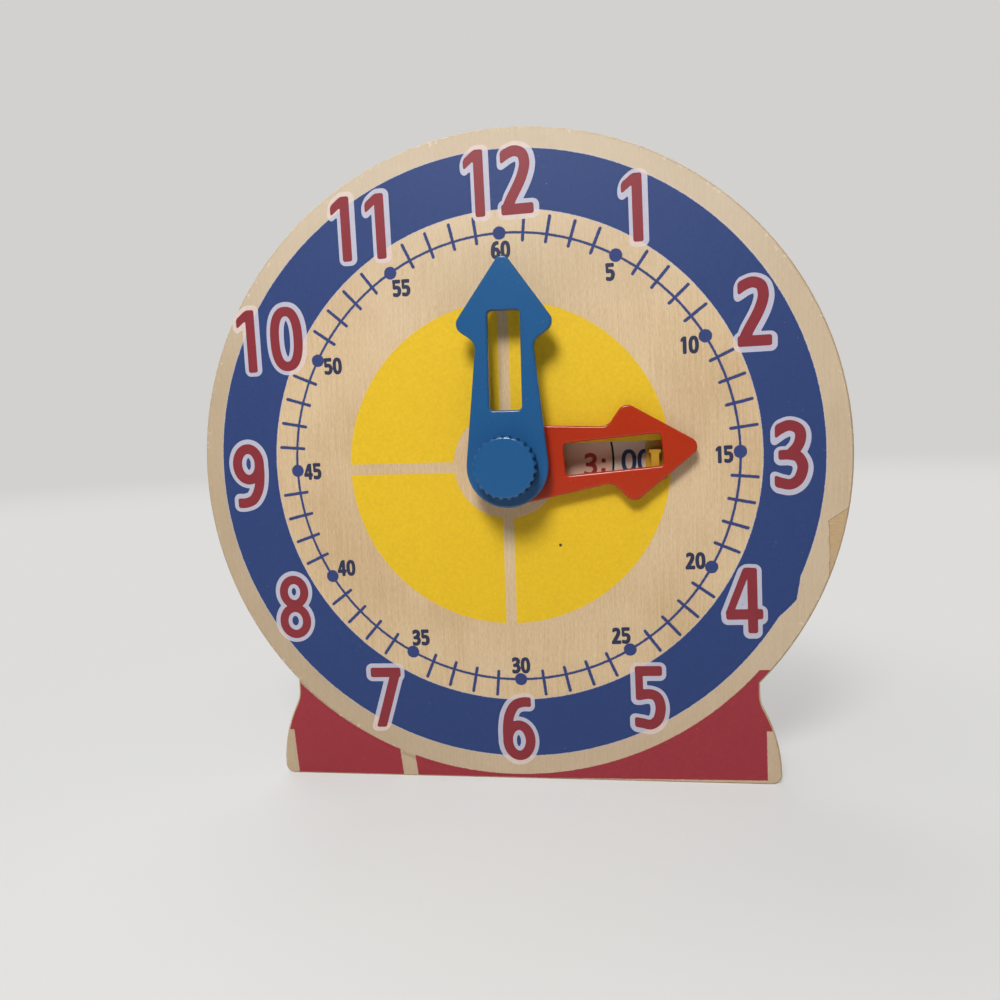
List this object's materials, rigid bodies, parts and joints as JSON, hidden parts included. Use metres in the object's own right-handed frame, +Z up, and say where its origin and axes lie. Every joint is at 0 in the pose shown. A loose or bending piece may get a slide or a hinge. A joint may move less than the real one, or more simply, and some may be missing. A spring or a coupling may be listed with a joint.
{
  "type": "geared teaching clock",
  "caption": "Free-standing wooden teaching clock: windowed hands geared together behind the dial, with number discs that show the time through a window in the board.",
  "frame": {"origin": "middle of the underside of the foot and tray, on the surface it stands on", "axes": "+Z up, the dial faces -Y, +X towards three o'clock"},
  "size_m": [0.235, 0.069, 0.235],
  "materials": {
    "plywood": "bare birch ply, printed dial",
    "red_wood": "satin red paint",
    "beech": "bare",
    "blue_plastic": "gloss",
    "red_plastic": "gloss",
    "yellow_plastic": "gloss",
    "clear_plastic": "clear moulding",
    "white_plastic": "matt",
    "label_film": "printed film",
    "steel": "plain",
    "rubber": "matt"
  },
  "bodies": {
    "clock_body": {"clock_board": "plywood", "tube_bush": "white_plastic", "gear_housing": "yellow_plastic", "rear_cover": "clear_plastic", "friction_washer": "rubber", "idler_arbor": "steel", "idler_clip": "steel", "housing_screws": "steel", "cover_screws": "steel", "tray_floor": "red_wood", "tray_left_side": "red_wood", "tray_right_side": "red_wood", "tray_back": "red_wood", "tray_screws": "steel", "tray_dowels": "beech"},
    "minute_works": {"minute_shaft": "steel", "minute_pinion": "blue_plastic", "minute_hand": "blue_plastic", "knob": "blue_plastic"},
    "hour_works": {"hour_tube": "red_plastic", "hour_wheel": "red_plastic", "hour_disc": "white_plastic", "hour_label": "label_film", "hour_hand": "red_plastic"},
    "minute_display": {"minute_disc": "white_plastic", "minute_label": "label_film"},
    "idler": {"idler_pinion": "yellow_plastic", "idler_front_wheel": "yellow_plastic", "idler_rear_wheel": "yellow_plastic"}
  },
  "joints": [
    {"name": "minute_turn", "type": "hinge", "parent": "clock_body", "child": "minute_works", "pos_m": [0, -0.024, 0.1175], "axis": [0, 1, 0], "continuous": true},
    {"name": "hour_turn", "type": "hinge", "parent": "clock_body", "child": "hour_works", "pos_m": [0, -0.024, 0.1175], "axis": [0, 1, 0], "continuous": true},
    {"name": "minute_display_turn", "type": "hinge", "parent": "clock_body", "child": "minute_display", "pos_m": [0, -0.024, 0.1175], "axis": [0, 1, 0], "continuous": true},
    {"name": "idler_turn", "type": "hinge", "parent": "clock_body", "child": "idler", "pos_m": [-0.027, -0.024, 0.1175], "axis": [0, 1, 0], "continuous": true}
  ],
  "couplings": [
    {"joint": "hour_turn", "follows": "minute_turn", "ratio": 0.083333},
    {"joint": "minute_display_turn", "follows": "minute_turn", "ratio": 1},
    {"joint": "idler_turn", "follows": "minute_turn", "ratio": -0.33333}
  ]
}
